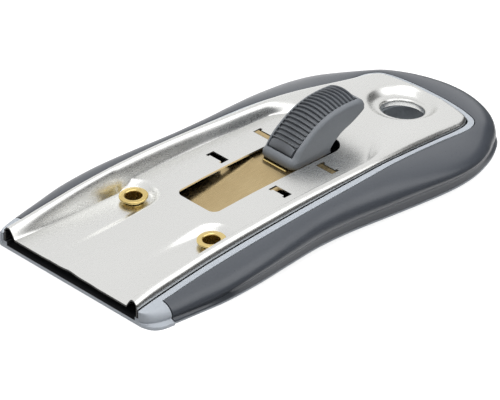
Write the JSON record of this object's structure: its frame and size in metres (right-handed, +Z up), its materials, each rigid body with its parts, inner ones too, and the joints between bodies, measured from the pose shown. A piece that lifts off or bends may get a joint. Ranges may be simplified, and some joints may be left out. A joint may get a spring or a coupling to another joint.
{
  "type": "blade scraper",
  "caption": "Flat glass and hob scraper: pressed steel plate on a plastic tray with a soft grip, thumb slider and a razor blade that slides out.",
  "frame": {"origin": "middle of the flat underside of the body, on the surface that the scraper lies on", "axes": "+X across the body to the right as seen by the user, +Y to the hanging hole at the rear, -Y to the blade, +Z up through the steel plate"},
  "size_m": [0.0658, 0.1416, 0.0221],
  "materials": {
    "light_plastic": "light blue-grey moulded plastic",
    "soft_plastic": "dark slate soft-touch plastic",
    "satin_steel": "satin stainless steel",
    "brass": "polished brass",
    "bronze": "dull bronze spring sheet",
    "zinc_steel": "zinc plated steel",
    "blade_steel": "polished blade steel",
    "blade_back": "folded aluminium back",
    "tray_plastic": "black nylon",
    "slider_plastic": "mid grey moulded plastic",
    "pad_plastic": "dark ribbed soft plastic"
  },
  "bodies": {
    "housing": {"base_body": "light_plastic", "soft_grip": "soft_plastic", "top_plate": "satin_steel", "left_eyelet": "brass", "right_eyelet": "brass", "left_eyelet_washer": "brass", "right_eyelet_washer": "brass"},
    "carriage": {"blade_carriage": "tray_plastic", "blade_clamp": "zinc_steel", "razor_blade": "blade_steel", "blade_spine": "blade_back", "clamp_rivet_left": "zinc_steel", "clamp_rivet_right": "zinc_steel", "spring_rivet_left": "zinc_steel", "spring_rivet_right": "zinc_steel"},
    "slider": {"lock_spring": "bronze", "slider_body": "slider_plastic", "slider_pad": "pad_plastic", "slider_retainer": "zinc_steel", "slider_screw": "zinc_steel"}
  },
  "joints": [
    {"name": "carriage_slide", "type": "slide", "parent": "housing", "child": "carriage", "axis": [0, -0.9997, -0.0262], "range_m": [0, 0.0164]},
    {"name": "button_press", "type": "hinge", "parent": "carriage", "child": "slider", "pos_m": [0, -0.03626, 0.00355], "axis": [-1, 0, 0], "range_deg": [0, 1.8], "stiffness_Nm_per_rad": 3, "springref_deg": -2.86, "deforming": ["lock_spring"]}
  ]
}
